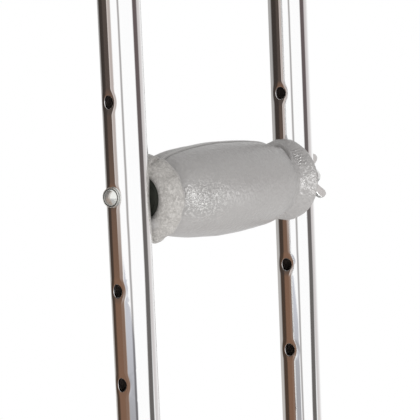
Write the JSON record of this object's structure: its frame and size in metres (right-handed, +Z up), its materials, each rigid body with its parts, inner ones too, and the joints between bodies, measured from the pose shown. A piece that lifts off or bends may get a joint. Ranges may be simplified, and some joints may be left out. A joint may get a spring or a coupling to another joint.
{
  "type": "folding underarm crutch",
  "caption": "Aluminium underarm crutch with a foam hand grip on a bolt between drilled uprights, a padded top, a fold-up leg and a sliding, button-locked foot.",
  "frame": {"origin": "on the floor under the middle of the rubber tip, below the middle of the crutch's overall box", "axes": "+Z up along the crutch, X along the hand grip's bolt with the wing nut at +X, -Y is the front, where the leg folds up"},
  "size_m": [0.2178, 0.056, 1.2894],
  "materials": {
    "aluminium_tube": "polished, clear anodised",
    "zinc_steel": "bright zinc plated",
    "spring_steel": "blued spring steel",
    "grip_foam": "pebbled skin over soft foam",
    "pad_foam": "pebbled skin over soft foam",
    "black_plastic": "matte moulded",
    "grey_plastic": "matte moulded",
    "nylon": "natural, satin",
    "grey_rubber": "matte"
  },
  "bodies": {
    "frame": {"bracket_rivet_left_lower": "zinc_steel", "bracket_rivet_left_upper": "zinc_steel", "bracket_rivet_right_lower": "zinc_steel", "bracket_rivet_right_upper": "zinc_steel", "grip_bolt": "zinc_steel", "grip_core": "black_plastic", "grip_plug_left": "black_plastic", "grip_plug_right": "black_plastic", "hand_grip": "grip_foam", "hinge_bracket": "zinc_steel", "pivot_bolt": "zinc_steel", "pivot_nut": "zinc_steel", "pivot_washer_left": "zinc_steel", "pivot_washer_right": "zinc_steel", "top_rivet_left": "zinc_steel", "top_rivet_right": "zinc_steel", "underarm_bar": "grey_plastic", "underarm_pad": "pad_foam", "upright_left": "aluminium_tube", "upright_plug_left": "black_plastic", "upright_plug_right": "black_plastic", "upright_right": "aluminium_tube", "wing_washer": "zinc_steel"},
    "wing": {"wing_nut": "zinc_steel"},
    "leg": {"leg_tube": "aluminium_tube", "leg_cap": "black_plastic", "leg_collar": "black_plastic", "pivot_bush": "nylon"},
    "lock": {"lock_clip": "spring_steel"},
    "inner_leg": {"inner_leg_tube": "aluminium_tube", "inner_leg_plug": "nylon", "rubber_tip": "grey_rubber", "tip_washer": "zinc_steel"},
    "height": {"height_clip": "spring_steel"}
  },
  "joints": [
    {"name": "leg_fold", "type": "hinge", "parent": "frame", "child": "leg", "pos_m": [0, 0, 0.365], "axis": [-1, 0, 0], "range_deg": [0, 180]},
    {"name": "leg_height", "type": "slide", "parent": "leg", "child": "inner_leg", "axis": [0, 0, 1], "range_m": [-0.0762, 0.0254]},
    {"name": "lock_press", "type": "slide", "parent": "leg", "child": "lock", "axis": [-1, 0, 0], "range_m": [0, 0.0035], "stiffness_N_per_m": 1500, "springref_m": -0.001, "deforming": ["lock_clip"]},
    {"name": "height_press", "type": "slide", "parent": "inner_leg", "child": "height", "axis": [0, -1, 0], "range_m": [0, 0.0035], "stiffness_N_per_m": 1500, "springref_m": -0.001, "deforming": ["height_clip"]},
    {"name": "wing_nut_spin", "type": "hinge", "parent": "frame", "child": "wing", "pos_m": [0.0885, 0, 0.86], "axis": [1, 0, 0], "continuous": true}
  ]
}
